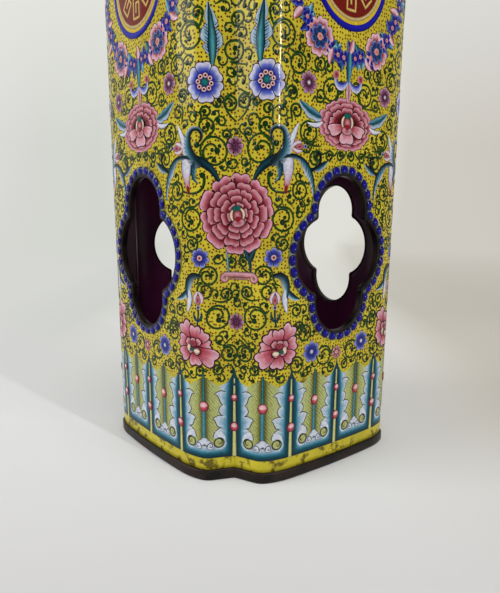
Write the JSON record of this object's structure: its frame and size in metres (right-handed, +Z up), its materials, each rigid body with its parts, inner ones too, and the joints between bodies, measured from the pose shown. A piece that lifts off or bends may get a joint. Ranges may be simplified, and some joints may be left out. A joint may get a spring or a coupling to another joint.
{
  "type": "enamel hat stand",
  "caption": "Tall open tube of enamelled copper with four lobed walls meeting in notches, each wall pierced by a quatrefoil window with a beaded border.",
  "frame": {"origin": "centre of the foot, on the surface that the stand rests on", "axes": "+Z up along the tube to its mouth; the four walls face +X, +Y, -X and -Y"},
  "size_m": [0.1184, 0.1184, 0.285],
  "materials": {
    "yellow_enamel": "glossy vitreous enamel on copper",
    "blue_enamel": "glossy raised enamel",
    "copper_trim": "darkened bare copper",
    "plum_enamel": "glossy counter enamel"
  },
  "bodies": {
    "root": {"wall_right": "yellow_enamel", "wall_back": "yellow_enamel", "wall_left": "yellow_enamel", "wall_front": "yellow_enamel", "window_edging_right": "copper_trim", "window_edging_back": "copper_trim", "window_edging_left": "copper_trim", "window_edging_front": "copper_trim", "bead_border_right": "blue_enamel", "bead_border_back": "blue_enamel", "bead_border_left": "blue_enamel", "bead_border_front": "blue_enamel", "foot_rim": "copper_trim", "base_plate": "plum_enamel", "mouth_rim": "copper_trim"}
  },
  "joints": []
}
